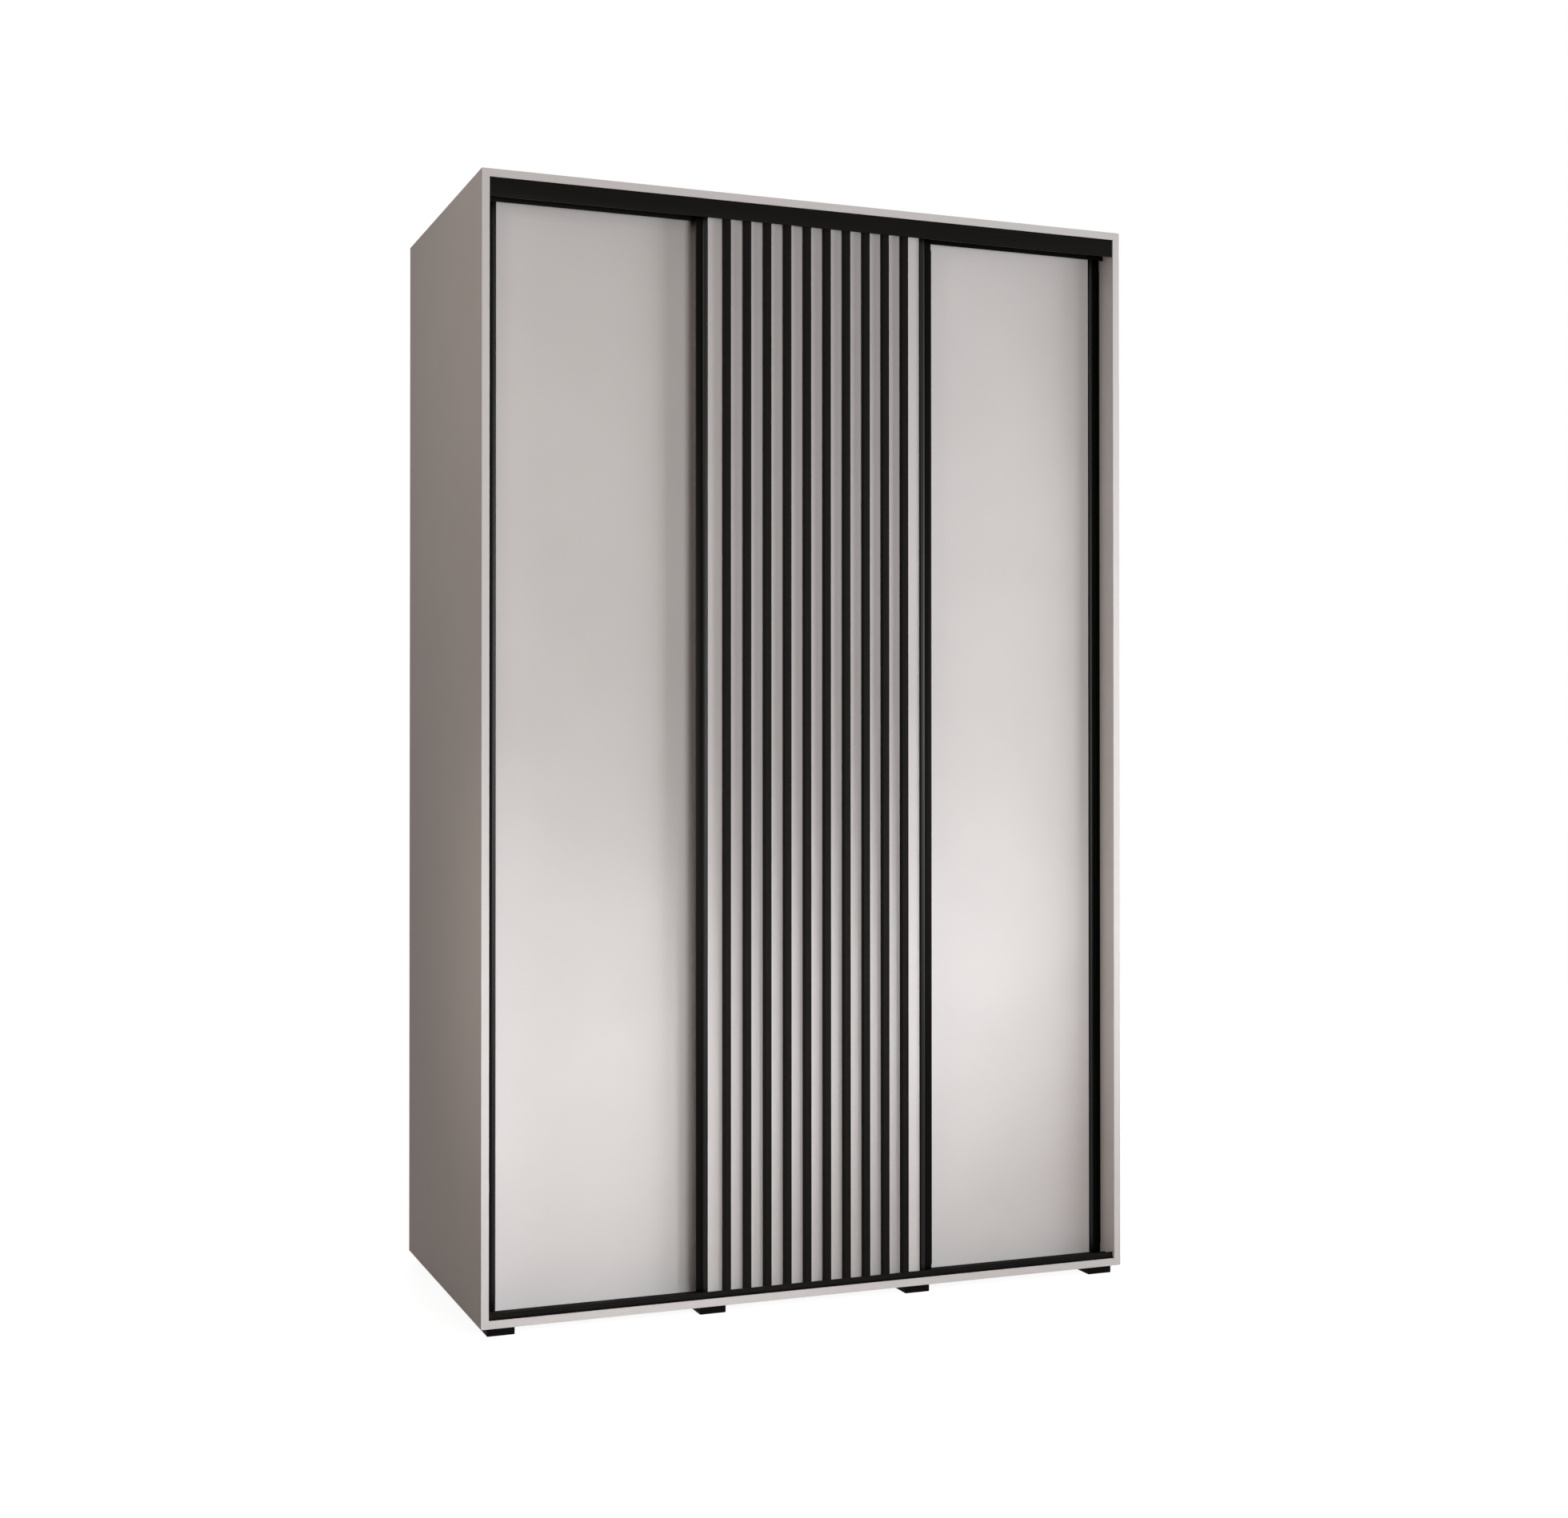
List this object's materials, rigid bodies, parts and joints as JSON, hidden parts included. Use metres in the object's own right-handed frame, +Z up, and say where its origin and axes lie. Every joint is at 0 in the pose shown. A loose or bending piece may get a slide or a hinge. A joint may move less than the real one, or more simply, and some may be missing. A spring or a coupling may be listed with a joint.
{
  "type": "sliding door wardrobe",
  "caption": "Tall white wardrobe with sliding doors: plain side doors on the rear track and a slatted middle door on the front track, black handle profiles, low block feet.",
  "frame": {"origin": "on the floor, under the middle of the wardrobe's box", "axes": "+X to the right along the front, +Y from the front to the back, +Z up; the doors face -Y"},
  "size_m": [1.468, 0.694, 2.339],
  "materials": {
    "white_board": "smooth matt white laminated board with matching edging",
    "white_sheet": "thin white-faced fibreboard",
    "black_aluminium": "satin black anodised extrusion",
    "black_slat": "fibreboard strip wrapped in matt black foil",
    "black_plastic": "matt black moulding",
    "white_nylon": "natural nylon",
    "black_steel": "black coated pressed steel",
    "zinc_steel": "bright zinc plating",
    "chrome": "polished chrome plating",
    "black_pile": "short black pile"
  },
  "bodies": {
    "carcass": {"side_left": "white_board", "side_right": "white_board", "top_panel": "white_board", "bottom_panel": "white_board", "partition_left": "white_board", "partition_right": "white_board", "shelf_left_top": "white_board", "shelf_right_top": "white_board", "shelf_right_low": "white_board", "shelf_middle_1": "white_board", "shelf_middle_2": "white_board", "shelf_middle_3": "white_board", "shelf_middle_top": "white_board", "back_left": "white_sheet", "back_middle": "white_sheet", "back_right": "white_sheet", "rod_left": "chrome", "rod_right": "chrome", "rod_sockets": "chrome", "shelf_pins": "zinc_steel", "cam_locks": "zinc_steel", "cam_bolts": "zinc_steel", "back_nails": "zinc_steel", "feet": "black_plastic", "foot_screws": "zinc_steel", "top_track": "black_aluminium", "bottom_track": "black_aluminium", "track_screws": "black_steel", "track_stops": "black_plastic"},
    "left_door": {"left_door_panel": "white_board", "left_door_profiles": "black_aluminium", "left_door_grips": "black_aluminium", "left_door_shoes": "black_plastic", "left_door_housings": "black_steel", "left_door_axles": "zinc_steel", "left_door_screws": "black_steel", "left_door_pile": "black_pile"},
    "left_wheel_l": {"left_door_wheel_l": "white_nylon"},
    "left_wheel_r": {"left_door_wheel_r": "white_nylon"},
    "middle_door": {"middle_door_panel": "white_board", "middle_door_profiles": "black_aluminium", "middle_door_grips": "black_aluminium", "middle_door_shoes": "black_plastic", "middle_door_housings": "black_steel", "middle_door_axles": "zinc_steel", "middle_door_screws": "black_steel", "middle_door_pile": "black_pile", "middle_door_slats": "black_slat"},
    "middle_wheel_l": {"middle_door_wheel_l": "white_nylon"},
    "middle_wheel_r": {"middle_door_wheel_r": "white_nylon"},
    "right_door": {"right_door_panel": "white_board", "right_door_profiles": "black_aluminium", "right_door_grips": "black_aluminium", "right_door_shoes": "black_plastic", "right_door_housings": "black_steel", "right_door_axles": "zinc_steel", "right_door_screws": "black_steel", "right_door_pile": "black_pile"},
    "right_wheel_l": {"right_door_wheel_l": "white_nylon"},
    "right_wheel_r": {"right_door_wheel_r": "white_nylon"}
  },
  "joints": [
    {"name": "left_door_slide", "type": "slide", "parent": "carcass", "child": "left_door", "axis": [1, 0, 0], "range_m": [0, 0.2275]},
    {"name": "left_wheel_l_spin", "type": "hinge", "parent": "left_door", "child": "left_wheel_l", "pos_m": [-0.6615, -0.2709, 0.0545], "axis": [0, 1, 0], "range_deg": [0, 1094]},
    {"name": "left_wheel_r_spin", "type": "hinge", "parent": "left_door", "child": "left_wheel_r", "pos_m": [-0.284, -0.2709, 0.0545], "axis": [0, 1, 0], "range_deg": [0, 1094]},
    {"name": "middle_door_slide", "type": "slide", "parent": "carcass", "child": "middle_door", "axis": [1, 0, 0], "range_m": [-0.444, 0.444]},
    {"name": "middle_wheel_l_spin", "type": "hinge", "parent": "middle_door", "child": "middle_wheel_l", "pos_m": [-0.217, -0.3094, 0.0545], "axis": [0, 1, 0], "range_deg": [-2130, 2130]},
    {"name": "middle_wheel_r_spin", "type": "hinge", "parent": "middle_door", "child": "middle_wheel_r", "pos_m": [0.217, -0.3094, 0.0545], "axis": [0, 1, 0], "range_deg": [-2130, 2130]},
    {"name": "right_door_slide", "type": "slide", "parent": "carcass", "child": "right_door", "axis": [1, 0, 0], "range_m": [-0.2275, 0]},
    {"name": "right_wheel_l_spin", "type": "hinge", "parent": "right_door", "child": "right_wheel_l", "pos_m": [0.284, -0.2709, 0.0545], "axis": [0, 1, 0], "range_deg": [-1094, 0]},
    {"name": "right_wheel_r_spin", "type": "hinge", "parent": "right_door", "child": "right_wheel_r", "pos_m": [0.6615, -0.2709, 0.0545], "axis": [0, 1, 0], "range_deg": [-1094, 0]}
  ],
  "couplings": [
    {"joint": "left_wheel_l_spin", "follows": "left_door_slide", "rad_per_m": 83.333},
    {"joint": "left_wheel_r_spin", "follows": "left_door_slide", "rad_per_m": 83.333},
    {"joint": "middle_wheel_l_spin", "follows": "middle_door_slide", "rad_per_m": 83.333},
    {"joint": "middle_wheel_r_spin", "follows": "middle_door_slide", "rad_per_m": 83.333},
    {"joint": "right_wheel_l_spin", "follows": "right_door_slide", "rad_per_m": 83.333},
    {"joint": "right_wheel_r_spin", "follows": "right_door_slide", "rad_per_m": 83.333}
  ]
}
